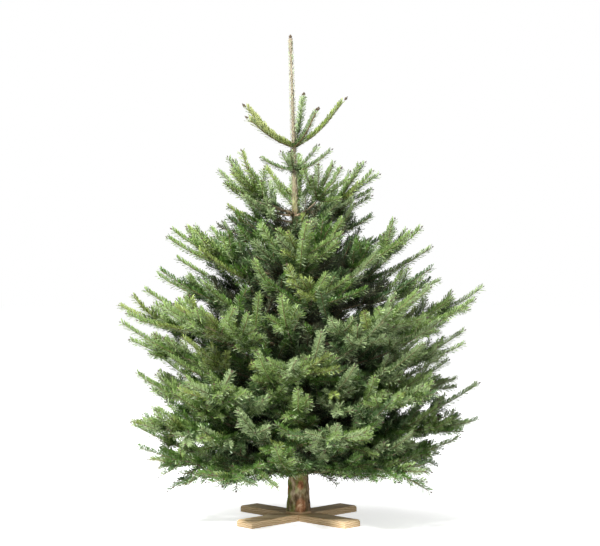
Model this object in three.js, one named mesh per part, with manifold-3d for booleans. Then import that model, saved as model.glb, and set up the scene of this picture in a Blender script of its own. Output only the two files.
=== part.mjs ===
// A cut fir for Christmas on a plain wooden cross stand. Millimetres, +Z up.
// The origin is the middle of the stand's underside, and the fir's front faces -Y.
import * as THREE from "three";
import { mergeVertices } from "three/addons/utils/BufferGeometryUtils.js";
import Module from "manifold-3d";

const wasm = await Module();
wasm.setup();

// Driving sizes. Heights on the fir are taken from the trunk's cut foot.
const fit = 0.3; // clearance between pieces that touch
const board = { length: 620, width: 92, thickness: 28, chamfer: 8 };
const trunk = {
  height: 1988, // cut foot to the base of the top bud
  footRadius: 44,
  tipRadius: 4.2,
  taper: 1.5, // over 1 thins the stem early, low on the trunk
  flare: 4, // extra radius at the cut
  flareHeight: 40,
  lean: -34, // sideways drift of the leader's tip
  budRadius: 9,
  budLength: 16,
  sides: 12,
  steps: 18,
};
const footHeight = board.thickness + fit;
const tipHalf = 13; // half the breadth of a leading shoot with its needles
const needleReach = 15; // how far needles stand off a single shoot

// One entry for each ring of boughs. height is on the trunk, turn is the first bough's heading from +X in
// degrees, and reach and rise place the boughs' tips. A ring that reaches or rises further towards +X has
// a lopsided share or a tilt over 0. early is the share of the rise that is even: the rest turns the bough
// up near its tip. half and depth are the foliage's greatest half-sizes across and up. bare is how much of
// the limb shows before its foliage: without it the needles start at the trunk.
const tiers = [
  {
    name: "whorl2",
    height: 1248, count: 5, turn: 14, reach: 350, rise: 206, early: 0.3,
    half: 108, depth: 44, bare: 90,
  },
  {
    name: "spur2",
    height: 1128, count: 4, turn: 0, reach: 325, rise: 110, tilt: 15, early: 0.2,
    half: 104, depth: 40,
  },
  {
    name: "whorl3",
    height: 985, count: 5, turn: -12, reach: 548, rise: 212, early: 0.15,
    half: 178, depth: 50, bare: 130,
  },
  {
    name: "spur3",
    height: 845, count: 4, turn: 5, reach: 602, rise: 158, tilt: -20, early: 0.1,
    half: 190, depth: 50,
  },
  {
    name: "whorl4",
    height: 702, count: 5, turn: 16, reach: 815, rise: 206, tilt: 50, early: 0.05,
    half: 236, depth: 54,
  },
  {
    name: "spur4",
    height: 567, count: 4, turn: -6, reach: 712, rise: 134, tilt: -8, early: 0.05,
    half: 218, depth: 38,
  },
  {
    name: "whorl5",
    height: 440, count: 5, turn: 22, reach: 740, lopsided: 0.05, rise: 120, early: 0.05,
    half: 232, depth: 47,
  },
  {
    name: "whorl6",
    height: 322, count: 5, turn: -9, reach: 732, rise: 88, tilt: -20, early: 0.05,
    half: 240, depth: 50,
  },
  {
    name: "whorl7",
    height: 205, count: 5, turn: 27, reach: 662, lopsided: 0.06, rise: 8, tilt: 5, early: 0,
    half: 226, depth: 50,
  },
];
// The ring of single shoots below the leader. neck is how fast a shoot's needles widen from the trunk.
const topShoots = {
  height: 1528,
  headings: [4, 74, 163, 214, 296], // degrees from +X
  reaches: [200, 135, 200, 212, 202],
  rises: [195, 230, 172, 108, 132],
  early: 0.5,
  neck: 0.4,
};

const green = (name, colour) =>
  new THREE.MeshStandardMaterial({ name, color: colour, roughness: 0.75, metalness: 0 });
const bark = green("bark", 0x6b6240);
const pine = green("pine", 0xc9a877);
const freshNeedles = green("freshNeedles", 0x88994f);
const needles = green("needles", 0x4f6a32);
const lowNeedles = green("lowNeedles", 0x3d5529);

const radians = THREE.MathUtils.degToRad;

// ---- solids ----

function solidOf(geometry) {
  const bare = new THREE.BufferGeometry().setAttribute("position", geometry.getAttribute("position"));
  if (geometry.index) bare.setIndex(geometry.index);
  const merged = mergeVertices(bare, 1e-3);
  return new wasm.Manifold(
    new wasm.Mesh({
      numProp: 3,
      vertProperties: merged.getAttribute("position").array,
      triVerts: new Uint32Array(merged.index.array),
    }),
  );
}

function geometryOf(solid) {
  const mesh = solid.getMesh();
  return new THREE.BufferGeometry()
    .setAttribute("position", new THREE.BufferAttribute(new Float32Array(mesh.vertProperties), 3))
    .setIndex(new THREE.BufferAttribute(new Uint32Array(mesh.triVerts), 1));
}

// The largest body left of a geometry once a tool has been cut from it.
function cutRound(geometry, tool) {
  const bodies = solidOf(geometry).subtract(tool).decompose();
  return geometryOf(bodies.reduce((most, body) => (body.volume() > most.volume() ? body : most)));
}

// A closed tube whose section may be any oval: centreAt gives the middle line, and sizeAt gives the
// half-sizes across and up for a share of the way along and an angle round the section.
function warpedTube(sides, steps, line, sizeAt) {
  const geometry = new THREE.CylinderGeometry(1, 1, 1, sides, steps);
  const place = geometry.getAttribute("position");
  const up = new THREE.Vector3();
  for (let i = 0; i < place.count; i++) {
    const along = THREE.MathUtils.clamp(place.getY(i) + 0.5, 0, 1);
    const across = place.getX(i);
    const above = place.getZ(i);
    const centre = line.getPoint(along);
    const forward = line.getTangent(along);
    const side = forward.clone().cross(line.upright).normalize();
    up.crossVectors(side, forward);
    const size = sizeAt(along, Math.atan2(above, across));
    centre.addScaledVector(side, across * size.across).addScaledVector(up, above * size.up);
    place.setXYZ(i, centre.x, centre.y, centre.z);
  }
  return geometry;
}

function piece(name, geometry, material) {
  const mesh = new THREE.Mesh(geometry, material);
  mesh.name = name;
  return mesh;
}

// ---- trunk ----

// The middle line of the trunk, upright at the foot and drifting to one side as it rises.
class TrunkLine extends THREE.Curve {
  constructor() {
    super();
    this.upright = new THREE.Vector3(0, -1, 0);
  }
  getPoint(share) {
    const above = share * (trunk.height + trunk.budLength);
    return trunkCentre(above);
  }
}

function trunkCentre(above) {
  const share = above / trunk.height;
  return new THREE.Vector3(trunk.lean * share * share, 0, footHeight + above);
}

function trunkRadius(above) {
  const share = THREE.MathUtils.clamp(above / trunk.height, 0, 1);
  const stem = trunk.tipRadius + (trunk.footRadius - trunk.tipRadius) * (1 - share) ** trunk.taper;
  return stem + trunk.flare * Math.exp(-above / trunk.flareHeight);
}

// The stem and, over its last stretch, the swell of the bud cluster at the leader's tip.
function trunkGeometry(extra) {
  const whole = trunk.height + trunk.budLength;
  return warpedTube(trunk.sides, trunk.steps, new TrunkLine(), (along) => {
    const above = along * whole;
    const radius = above > trunk.height ? trunk.budRadius : trunkRadius(above);
    return { across: radius + extra, up: radius + extra };
  });
}

// ---- boughs and foliage ----

// The middle line of one bough from the trunk's own middle line out to the bough's tip.
const upturn = 2.6; // how late along a bough its tip turns up
class BoughLine extends THREE.Curve {
  constructor({ height, heading, bend, reach, rise, early }) {
    super();
    Object.assign(this, { height, heading, bend, reach, rise, early });
    this.root = trunkCentre(height);
    this.upright = new THREE.Vector3(0, 0, 1);
  }
  getPoint(share) {
    const heading = this.heading + this.bend * share * share;
    const lift = this.rise * (this.early * share + (1 - this.early) * share ** upturn);
    return new THREE.Vector3(
      this.root.x + this.reach * share * Math.cos(heading),
      this.root.y + this.reach * share * Math.sin(heading),
      this.root.z + lift,
    );
  }
}

// The stretch of a bough's line between two shares of its way.
class PartLine extends THREE.Curve {
  constructor(line, from, to) {
    super();
    Object.assign(this, { line, from, to, upright: line.upright });
  }
  getPoint(share) {
    return this.line.getPoint(this.from + (this.to - this.from) * share);
  }
  getTangent(share) {
    return this.line.getTangent(this.from + (this.to - this.from) * share);
  }
}

// How broad a fan of side shoots is along its bough, as a share of its greatest breadth: nothing at the
// trunk, most near the middle, then narrowing to the leading shoot.
const fanPower = 0.9;
const fanPeak = 1 / (1 + fanPower);
const fanRise = (share) => share * (1 - share) ** fanPower;
const fanShare = (share) => fanRise(share) / fanRise(fanPeak);

// Uneven swelling of a mass: a few slow waves along it and round it, out of step from mass to mass.
const swell = (share, angle, phase) =>
  1 + 0.11 * Math.sin(9 * share + 2 * angle + phase) + 0.07 * Math.sin(19 * share - 3 * angle + 2.3 * phase);

// Half-sizes of a mass at a share of its bough. wedge keeps it clear of the boughs beside it.
function foliageSize(tier, line, wedge, phase) {
  return (share, angle) => {
    const fan = fanShare(share);
    const out = line.reach * share;
    const uneven = swell(share, angle, phase);
    const across = (tier.half * fan + tipHalf) * uneven;
    const up = (tier.depth * fan ** 0.5 + tipHalf * 0.8) * uneven;
    const room = wedge * out;
    return { across: Math.min(across, room), up: Math.min(up, Math.max(room, 0.3 * tier.depth)) };
  };
}

// Each bough of a ring stands a little off the even spacing, and reaches and rises a little more or less.
function boughsOf(tier, ring) {
  return Array.from({ length: tier.count }, (_, k) => {
    const phase = 1.7 * ring + 2.4 * k;
    const heading = radians(tier.turn + (360 / tier.count) * k + 3 * Math.sin(3.3 * phase));
    const { rise, tilt = 0, reach, lopsided = 0, early } = tier;
    return {
      height: tier.height + 8 * Math.sin(2.1 * phase),
      heading,
      bend: 0.06 * Math.sin(1.9 * phase),
      reach: reach * (1 + lopsided * Math.cos(heading) + 0.03 * Math.sin(phase)),
      rise: rise + tilt * Math.cos(heading) + 0.025 * reach * Math.cos(1.3 * phase),
      early,
      phase,
    };
  });
}

const boughSides = 7;
const boughSteps = 3;
const massSides = 8;
const massSteps = 8;
const shootSides = 6;
const shootSteps = 7;

function tierPieces(tier, ring, trunkTool) {
  const wedge = 0.86 * Math.tan(Math.PI / tier.count);
  const pieces = [];
  boughsOf(tier, ring).forEach((bough, k) => {
    const line = new BoughLine(bough);
    const size = foliageSize(tier, line, wedge, bough.phase);
    const bare = tier.bare ?? 0;
    const start = bare / bough.reach;
    if (bare) {
      const thick = 0.5 * trunkRadius(bough.height);
      const limb = warpedTube(boughSides, boughSteps, new PartLine(line, 0, start), (along) => {
        const radius = thick * (1 - 0.35 * along);
        return { across: radius, up: radius };
      });
      pieces.push(piece(`${tier.name}_bough${k + 1}`, cutRound(limb, trunkTool), bark));
    }
    const from = bare ? start + fit / bough.reach : 0;
    const mass = warpedTube(massSides, massSteps, new PartLine(line, from, 1), (along, angle) =>
      size(from + (1 - from) * along, angle),
    );
    const material = ring < 3 ? freshNeedles : ring < 6 ? needles : lowNeedles;
    pieces.push(piece(`${tier.name}_foliage${k + 1}`, cutRound(mass, trunkTool), material));
  });
  return pieces;
}

// The single shoots round the leader: slim, needled from the trunk outwards, and bare at the very tip.
function topShootPieces(trunkTool) {
  return topShoots.headings.map((heading, k) => {
    const line = new BoughLine({
      height: topShoots.height,
      heading: radians(heading),
      bend: 0,
      reach: topShoots.reaches[k],
      rise: topShoots.rises[k],
      early: topShoots.early,
    });
    const shoot = warpedTube(shootSides, shootSteps, line, (share) => {
      const neck = topShoots.neck * line.reach * share + 0.5;
      const half = Math.min(needleReach * (1.1 - 0.6 * share ** 4), neck);
      return { across: half, up: half };
    });
    return piece(`top_shoot${k + 1}`, cutRound(shoot, trunkTool), freshNeedles);
  });
}

// ---- stand ----

// A board on edge, in side view, with a half-lap notch cut into its top or its underside.
function boardOutline(notchBelow) {
  const { length, width, thickness, chamfer } = board;
  const end = length / 2;
  const notch = width / 2 + fit;
  const outline = new THREE.Shape();
  outline.moveTo(-end, 0);
  if (notchBelow) {
    outline.lineTo(-notch, 0);
    outline.lineTo(-notch, (thickness + fit) / 2);
    outline.lineTo(notch, (thickness + fit) / 2);
    outline.lineTo(notch, 0);
  }
  outline.lineTo(end, 0);
  outline.lineTo(end, thickness - chamfer);
  outline.lineTo(end - chamfer, thickness);
  if (!notchBelow) {
    outline.lineTo(notch, thickness);
    outline.lineTo(notch, (thickness - fit) / 2);
    outline.lineTo(-notch, (thickness - fit) / 2);
    outline.lineTo(-notch, thickness);
  }
  outline.lineTo(-end + chamfer, thickness);
  outline.lineTo(-end, thickness - chamfer);
  outline.closePath();
  return outline;
}

function standBoard(name, notchBelow) {
  const geometry = new THREE.ExtrudeGeometry(boardOutline(notchBelow), {
    depth: board.width,
    bevelEnabled: false,
  });
  geometry.translate(0, 0, -board.width / 2);
  geometry.rotateX(Math.PI / 2);
  return piece(name, geometry, pine);
}

// ---- the whole fir ----

const fir = new THREE.Group();
const lowerBoard = standBoard("stand_lower_board", false);
const upperBoard = standBoard("stand_upper_board", true);
const stand = new THREE.Group();
stand.add(lowerBoard, upperBoard);
upperBoard.rotation.z = Math.PI / 2;
stand.rotation.z = radians(45); // the cross stands diagonally to the fir's front
fir.add(stand);

const trunkTool = solidOf(trunkGeometry(fit));
fir.add(piece("trunk", trunkGeometry(0), bark));
fir.add(...topShootPieces(trunkTool));
tiers.forEach((tier, ring) => fir.add(...tierPieces(tier, ring + 1, trunkTool)));

export default fir;
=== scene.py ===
import math
import random

import bmesh
import bpy
import numpy as np
from mathutils import Matrix, Vector, noise


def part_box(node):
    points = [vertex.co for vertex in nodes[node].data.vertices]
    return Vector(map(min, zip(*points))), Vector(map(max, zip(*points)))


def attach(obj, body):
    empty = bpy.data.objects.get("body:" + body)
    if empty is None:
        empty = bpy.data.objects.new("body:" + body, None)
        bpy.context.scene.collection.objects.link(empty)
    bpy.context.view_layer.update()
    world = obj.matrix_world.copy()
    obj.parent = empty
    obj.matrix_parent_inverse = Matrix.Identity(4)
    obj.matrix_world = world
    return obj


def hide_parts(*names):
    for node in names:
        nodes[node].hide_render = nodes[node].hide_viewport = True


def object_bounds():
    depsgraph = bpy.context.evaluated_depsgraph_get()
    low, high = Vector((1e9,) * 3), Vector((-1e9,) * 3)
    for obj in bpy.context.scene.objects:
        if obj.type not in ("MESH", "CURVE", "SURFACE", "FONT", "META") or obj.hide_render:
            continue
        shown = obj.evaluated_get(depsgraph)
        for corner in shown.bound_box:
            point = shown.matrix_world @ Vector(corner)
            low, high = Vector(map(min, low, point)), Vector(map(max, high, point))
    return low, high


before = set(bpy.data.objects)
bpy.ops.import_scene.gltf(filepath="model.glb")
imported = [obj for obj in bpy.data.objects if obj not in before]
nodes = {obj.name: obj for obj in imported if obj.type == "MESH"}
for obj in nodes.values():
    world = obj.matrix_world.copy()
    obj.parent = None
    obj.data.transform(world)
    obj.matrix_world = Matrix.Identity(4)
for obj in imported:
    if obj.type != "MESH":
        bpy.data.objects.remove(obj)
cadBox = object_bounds()
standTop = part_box("stand_lower_board")[1].z
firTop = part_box("trunk")[1].z
print("frame loaded")


# A node with its settings, and what goes into its sockets: in their order, or by name or number.
def addNode(tree, kind, *inOrder, named=None, **settings):
    node = tree.nodes.new(kind)
    for key, value in settings.items():
        setattr(node, key, value)
    pairs = list(zip([socket for socket in node.inputs if socket.enabled], inOrder))
    pairs += [(node.inputs[key], value) for key, value in (named or {}).items()]
    for socket, value in pairs:
        if isinstance(value, Wire):
            value = value.socket
        if isinstance(value, bpy.types.NodeSocket):
            tree.links.new(value, socket)
        elif value is not None:
            socket.default_value = value
    return node


# A number or a vector in a node tree, to write plain sums with.
class Wire:
    def __init__(self, socket):
        self.socket = socket
        self.kind = "ShaderNodeVectorMath" if socket.type == "VECTOR" else "ShaderNodeMath"

    def to(self, operation, *others):
        node = addNode(self.socket.id_data, self.kind, self, *others, operation=operation)
        return Wire(next(socket for socket in node.outputs if socket.enabled))

    def __add__(self, other):
        return self.to("ADD", other)

    def __sub__(self, other):
        return self.to("SUBTRACT", other)

    def __mul__(self, other):
        return self.to("SCALE" if self.socket.type == "VECTOR" else "MULTIPLY", other)

    def __pow__(self, other):
        return self.to("POWER", other)


def newMaterial(name, roughness, specular, colour=(0.8, 0.8, 0.8)):
    material = bpy.data.materials.new(name)
    material.use_nodes = True
    shader = material.node_tree.nodes["Principled BSDF"]
    shader.inputs["Base Color"].default_value = (*colour, 1)
    shader.inputs["Roughness"].default_value = roughness
    shader.inputs["Specular IOR Level"].default_value = specular
    return material, material.node_tree, shader


def linkPiece(name, mesh):
    piece = bpy.data.objects.new(name, mesh)
    bpy.context.collection.objects.link(piece)
    return piece


def clamp(value, high=1):
    return min(high, max(0, value))


# The level direction at a heading in degrees, counted from the right.
def wayAt(degrees):
    angle = math.radians(degrees)
    return Vector((math.cos(angle), math.sin(angle), 0))


# A level direction raised by some degrees.
def raised(way, degrees):
    angle = math.radians(degrees)
    return way * math.cos(angle) + Vector((0, 0, math.sin(angle)))


view = {"distance": 6.2, "sideways": 0.006, "height": standTop + 1.004, "lens": 88.6}


def makeCamera():
    data = bpy.data.cameras.new("camera")
    data.lens = view["lens"]
    camera = bpy.data.objects.new("camera", data)
    camera.location = (view["sideways"], -view["distance"], view["height"])
    camera.rotation_euler = (math.radians(90), 0, 0)
    bpy.context.collection.objects.link(camera)
    bpy.context.scene.camera = camera


light = {
    "backdrop": 1.0,  # what the camera sees behind the fir
    "sky": 0.39,  # what lights it from all round
    "key": {"place": (-2.5, -4.5, 4.8), "size": 0.9, "power": 1000},
    "fill": {"place": (3.0, -5.4, 1.8), "size": 3.0, "power": 55},
    "rim": {"place": (-1.5, 4.0, 4.8), "size": 2.5, "power": 150},
    "target": (0, 0, 1.0),
}


# A strength that is one number for what the camera sees and another for what lights the fir.
def strengthFor(tree, lighting, seen):
    ray = addNode(tree, "ShaderNodeLightPath").outputs["Is Camera Ray"]
    limits = {"Value": ray, "To Min": lighting, "To Max": seen}
    return addNode(tree, "ShaderNodeMapRange", named=limits).outputs["Result"]


def makeLights():
    world = bpy.data.worlds.new("studio")
    world.use_nodes = True
    tree = world.node_tree
    background = tree.nodes["Background"]
    background.inputs["Color"].default_value = (1, 1, 1, 1)
    tree.links.new(strengthFor(tree, light["sky"], light["backdrop"]), background.inputs["Strength"])
    bpy.context.scene.world = world
    for name in ("key", "fill", "rim"):
        lamp = light[name]
        data = bpy.data.lights.new(name, "AREA")
        data.size = lamp["size"]
        data.energy = lamp["power"]
        thing = bpy.data.objects.new(name, data)
        thing.location = lamp["place"]
        aim = Vector(light["target"]) - Vector(lamp["place"])
        thing.rotation_euler = aim.to_track_quat("-Z", "Y").to_euler()
        bpy.context.collection.objects.link(thing)
    bpy.context.scene.view_settings.view_transform = "Standard"


floorLook = {"radius": 40, "sides": 64, "grey": 0.93}


def makeFloor():
    sides, grey = floorLook["sides"], floorLook["grey"]
    mesh = bpy.data.meshes.new("floor")
    ring = [wayAt(360 * k / sides) * floorLook["radius"] for k in range(sides)]
    mesh.from_pydata(ring, [], [list(range(sides))])
    material, tree, shader = newMaterial("paleFloor", 0.9, 0.1, (grey, grey, grey))
    shader.inputs["Emission Color"].default_value = (1, 1, 1, 1)
    # it glows for the camera only, so that it looks white and still throws little light up under the boughs
    glow = strengthFor(tree, 0, light["backdrop"] - grey * light["sky"])
    tree.links.new(glow, shader.inputs["Emission Strength"])
    mesh.materials.append(material)
    linkPiece("floor", mesh)


makeCamera()
makeLights()
makeFloor()
print("studio ready")


def objectNoise(tree, scale, detail, stretch=(1, 1, 1)):
    place = addNode(tree, "ShaderNodeTexCoord").outputs["Object"]
    place = addNode(tree, "ShaderNodeMapping", named={"Vector": place, "Scale": stretch}).outputs["Vector"]
    grain = {"Vector": place, "Scale": scale, "Detail": detail}
    return addNode(tree, "ShaderNodeTexNoise", named=grain).outputs["Fac"]


def colourRamp(tree, source, stops):
    ramp = addNode(tree, "ShaderNodeValToRGB", named={"Fac": source})
    while len(ramp.color_ramp.elements) < len(stops):
        ramp.color_ramp.elements.new(0.5)
    for element, (place, colour) in zip(ramp.color_ramp.elements, stops):
        element.position = place
        element.color = (*colour, 1)
    return ramp.outputs["Color"]


def mixColour(tree, share, first, second):
    return addNode(tree, "ShaderNodeMix", data_type="RGBA", named={0: share, 6: first, 7: second}).outputs[2]


def attributeValue(tree, name):
    return addNode(tree, "ShaderNodeAttribute", attribute_name=name).outputs["Fac"]


def addBump(tree, shader, height, distance, strength):
    relief = {"Height": height, "Distance": distance, "Strength": strength}
    bump = addNode(tree, "ShaderNodeBump", named=relief)
    tree.links.new(bump.outputs["Normal"], shader.inputs["Normal"])


# Each spray takes one of these: the colour of its needles, and the lighter one of those in the outer half of
# its shoots, as painted highlight. One is for the leader and one for the top whorl, three for this year's
# shoots, three for last year's and two for older ones; green, blue, deep and dusk also stand as painted
# shade on the shoots inside the crown.
needleColours = {
    "straw": ((0.200, 0.188, 0.118), (0.300, 0.290, 0.200)),
    "lime": ((0.185, 0.230, 0.058), (0.330, 0.370, 0.140)),
    "gold": ((0.110, 0.165, 0.024), (0.240, 0.305, 0.080)),
    "fresh": ((0.072, 0.140, 0.020), (0.205, 0.300, 0.088)),
    "silver": ((0.070, 0.125, 0.034), (0.242, 0.320, 0.142)),
    "green": ((0.036, 0.096, 0.012), (0.086, 0.172, 0.028)),
    "olive": ((0.070, 0.102, 0.018), (0.140, 0.180, 0.042)),
    "blue": ((0.038, 0.088, 0.026), (0.086, 0.152, 0.050)),
    "deep": ((0.036, 0.064, 0.024), (0.056, 0.096, 0.034)),
    "dusk": ((0.055, 0.062, 0.036), (0.078, 0.088, 0.048)),
}
# Partly the real pale underside of the needles, partly painted glints of light on them.
paleSideAndGlintColour = (0.300, 0.375, 0.205)

# Lit and shaded copies of each colour: the darker one at the shoots' bases is painted shade, the lighter one
# on their outer needles painted highlight.
needleBodies = {}
paintedHighlightEnds = {}
for colourName, (inner, outer) in needleColours.items():
    needleBodies[colourName] = newMaterial(f"{colourName}Needles", 0.40, 0.45, inner)[0]
    paintedHighlightEnds[colourName] = newMaterial(f"{colourName}PaintedHighlightEnds", 0.40, 0.45, outer)[0]
paleSideAndGlintNeedles = newMaterial("needlePaleSidesAndGlints", 0.6, 0.2, paleSideAndGlintColour)[0]

# The colours of wood and bark, each from its cracks to its ridges.
barkStops = {
    "twig": [(0.3, (0.075, 0.050, 0.024)), (0.6, (0.17, 0.115, 0.055)), (0.8, (0.27, 0.20, 0.11))],
    "bud": [(0.35, (0.045, 0.032, 0.018)), (0.65, (0.105, 0.075, 0.042))],
    "old": [(0.32, (0.065, 0.042, 0.024)), (0.50, (0.24, 0.165, 0.095)), (0.66, (0.50, 0.40, 0.27))],
    "moss": [(0.32, (0.055, 0.065, 0.012)), (0.50, (0.19, 0.215, 0.050)), (0.66, (0.38, 0.41, 0.17))],
    "scar": [(0.32, (0.17, 0.065, 0.030)), (0.52, (0.46, 0.215, 0.105)), (0.68, (0.70, 0.45, 0.28))],
    "young": [(0.3, (0.130, 0.098, 0.066)), (0.7, (0.290, 0.250, 0.178))],
    "board": [(0.15, (0.80, 0.62, 0.40)), (0.6, (0.74, 0.54, 0.31)), (0.95, (0.56, 0.36, 0.18))],
}
cutWood = (0.80, 0.56, 0.34, 1)


def grainMaterial(name, roughness, specular, scale, detail, stops):
    material, tree, shader = newMaterial(name, roughness, specular)
    tree.links.new(colourRamp(tree, objectNoise(tree, scale, detail), stops), shader.inputs["Base Color"])
    return material


def barkMaterial():
    material, tree, shader = newMaterial("firBark", 0.85, 0.2)
    plates = objectNoise(tree, 60, 8, (1, 1, 0.55))
    patches = {"Value": objectNoise(tree, 34, 5, (1, 1, 0.8)), "From Min": 0.42, "From Max": 0.56}
    edge = addNode(tree, "ShaderNodeMapRange", named=patches).outputs["Result"]
    spots = addNode(tree, "ShaderNodeMath", edge, attributeValue(tree, "moss"), operation="MULTIPLY")
    old = colourRamp(tree, plates, barkStops["old"])
    colour = mixColour(tree, spots.outputs[0], old, colourRamp(tree, plates, barkStops["moss"]))
    for name, grain in (("young", objectNoise(tree, 260, 3)), ("scar", plates)):
        ramp = colourRamp(tree, grain, barkStops[name])
        colour = mixColour(tree, attributeValue(tree, name), colour, ramp)
    colour = mixColour(tree, attributeValue(tree, "wood"), colour, cutWood)
    tree.links.new(colour, shader.inputs["Base Color"])
    addBump(tree, shader, plates, 0.0030, 0.8)
    return material


def boardMaterial(name, turn):
    material, tree, shader = newMaterial(name, 0.62, 0.3)
    log = {"Rotation": (0, 0, turn), "Scale": (0.09, 1, 1.6), "Location": (0, 0.12, 0.35)}
    log["Vector"] = addNode(tree, "ShaderNodeTexCoord").outputs["Object"]
    rings = {"Scale": 26, "Distortion": 5.5, "Detail": 3, "Detail Scale": 1.4}
    rings["Vector"] = addNode(tree, "ShaderNodeMapping", named=log).outputs["Vector"]
    wave = addNode(tree, "ShaderNodeTexWave", wave_type="RINGS", rings_direction="X", named=rings)
    grain = wave.outputs["Fac"]
    tree.links.new(colourRamp(tree, grain, barkStops["board"]), shader.inputs["Base Color"])
    addBump(tree, shader, grain, 0.0004, 0.4)
    return material


twigBark = grainMaterial("twigBark", 0.7, 0.3, 90, 3, barkStops["twig"])
budScales = grainMaterial("budScales", 0.45, 0.5, 400, 2, barkStops["bud"])
firBark = barkMaterial()


def meshEdges(node):
    mesh = nodes[node].data
    places = np.array([v.co[:] for v in mesh.vertices])
    return places, np.array([e.vertices[:] for e in mesh.edges])


# Middle and half-width of a solid where a level plane, or one across a heading, cuts it.
def slices(node, origin, forward, side, up, alongs):
    places, edges = meshEdges(node)
    local = (places - np.array(origin)) @ np.array([forward, side, up]).T
    first, second = local[edges[:, 0]], local[edges[:, 1]]
    rows = []
    for along in alongs:
        crossing = (first[:, 0] - along) * (second[:, 0] - along) < 0
        a, b = first[crossing], second[crossing]
        if len(a) < 3:
            continue
        cut = a + (b - a) * ((along - a[:, 0]) / (b[:, 0] - a[:, 0]))[:, None]
        low, high = cut.min(axis=0), cut.max(axis=0)
        rows.append((along, *(low + high)[1:] / 2, (high - low)[1] / 2))
    return np.array(rows)


trunkHeights = np.linspace(standTop + 0.004, firTop - 0.020, 70)
trunkRows = slices("trunk", (0, 0, 0), (0, 0, 1), (1, 0, 0), (0, 1, 0), trunkHeights)


def trunkCentre(z):
    return Vector((float(np.interp(z, trunkRows[:, 0], trunkRows[:, 1])), 0, z))


def trunkRadius(z):
    return float(np.interp(z, trunkRows[:, 0], trunkRows[:, 3]))


# One bough as the frame's solids hold it: its middle line and how far its foliage spreads.
class Bough:
    def __init__(self, foliage):
        low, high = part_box(foliage)
        places = meshEdges(foliage)[0]
        out = np.hypot(places[:, 0] - trunkCentre((low.z + high.z) / 2).x, places[:, 1])
        self.tip = Vector(places[out.argmax()])
        root = trunkCentre(self.tip.z)
        self.forward = Vector((self.tip.x - root.x, self.tip.y - root.y, 0)).normalized()
        self.side = Vector((-self.forward.y, self.forward.x, 0))
        self.root = Vector((root.x, root.y, 0))
        self.reach = (self.tip - root).dot(self.forward)
        alongs = np.linspace(0.02, 0.995, 40) * self.reach
        self.rows = self.slice(foliage, alongs)
        self.line = self.rows
        limb = foliage.replace("_foliage", "_bough")
        if limb != foliage and limb in nodes:
            bare = self.slice(limb, alongs[alongs < self.rows[0, 0]])
            self.line = np.vstack([bare, self.rows[3:]])
        first, later = self.line[0], self.line[3]
        slope = min(0.5, max(0.0, (later[2] - first[2]) / (later[0] - first[0])))
        self.line = np.vstack([(0, 0, first[2] - slope * first[0], first[3]), self.line])

    def slice(self, node, alongs):
        return slices(node, self.root, self.forward, self.side, (0, 0, 1), alongs)

    def point(self, share):
        along = share * self.reach
        across, level = (float(np.interp(along, self.line[:, 0], self.line[:, k])) for k in (1, 2))
        return self.root + self.forward * along + self.side * across + Vector((0, 0, level))

    def halfWidth(self, share):
        if share >= 1:
            return 0.0
        return float(np.interp(share * self.reach, self.rows[:, 0], self.rows[:, 3]))


growth = {
    "seed": 11,
    "forkAngle": (42, 60),  # degrees between a shoot and the side shoots at its yearly node
    "forkTilt": 42,  # and how far these turn round the shoot
    "forkMissing": 0.08,
    "sideShare": 0.54,  # length of a side branch, as a share of what its parent still has to grow
    "upperChance": 0.55,  # how often a yearly node sends a shoot upwards as well
    "upperAngle": (28, 55),
    "upperTilt": 40,
    "upperShare": 0.8,
    "middleMissing": 0.4,  # how often a year's growth has no shoot between its forks
    "middleAngle": (40, 65),
    "middleTilt": 60,
    "middleShare": 0.6,
    "mostForks": 4,
    "riseSpread": 17,
    "wander": 0.035,
    "smallest": 0.038,  # shoots shorter than this aren't grown
    "outermost": 1.03,  # of the crown's reach: no side shoot grows beyond this
    "offTheSides": 0.012,
    "pull": (0.30, 0.10),  # how fast this year's shoots, and the older ones, turn towards their rise
    "tipThickness": 0.0013,
    "yearThickness": 0.0006,
}

# Years a bough has grown, the rise its shoots turn to in degrees, the length of the ones on top of it,
# how far its needles thin out, and how long they are.
habitNames = ("years", "rise", "upper", "sparse", "needle")
tierRows = {
    "whorl2": (2, 62, 0.170, 1.0, 0.90),
    "spur2": (2, 52, 0.130, 1.0, 0.90),
    "whorl3": (3, 48, 0.130, 1.0, 0.95),
    "spur3": (3, 46, 0.110, 1.0, 0.95),
    "whorl4": (4, 40, 0.100, 1.0, 1.0),
    "spur4": (4, 34, 0.090, 1.0, 1.0),
    "whorl5": (5, 30, 0.085, 1.0, 1.0),
    "whorl6": (5, 20, 0.075, 1.1, 1.0),
    "whorl7": (5, 2, 0.060, 1.5, 0.85),
}
tierHabits = {tier: dict(zip(habitNames, row)) for tier, row in tierRows.items()}

rng = random.Random(growth["seed"])
shoots = []
limbs = []


def spread(value, share):
    return value * (1 + rng.uniform(-share, share))


def turned(direction, axis, degrees):
    return (Matrix.Rotation(math.radians(degrees), 3, axis) @ direction).normalized()


def perpendicularUp(direction, up=Vector((0, 0, 1))):
    flat = up - direction * up.dot(direction)
    return flat.normalized() if flat.length > 1e-4 else Vector((1, 0, 0))


# Turns a direction some way towards a rise above the level, keeping its heading.
def lifted(direction, rise, share):
    flat = Vector((direction.x, direction.y, 0))
    if flat.length < 0.05:
        return direction
    level = math.degrees(math.asin(max(-1, min(1, direction.z))))
    return raised(flat.normalized(), level + (rise - level) * share)


# Points from a root out to a reach, rising more and more on the way.
def upswept(root, out, reach, rise, power, count):
    return [root + out * (reach * t) + Vector((0, 0, rise * t**power)) for t in np.linspace(0, 1, count)]


def shootLength(shoot):
    return sum((b - a).length for a, b in zip(shoot["points"], shoot["points"][1:]))


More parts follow.
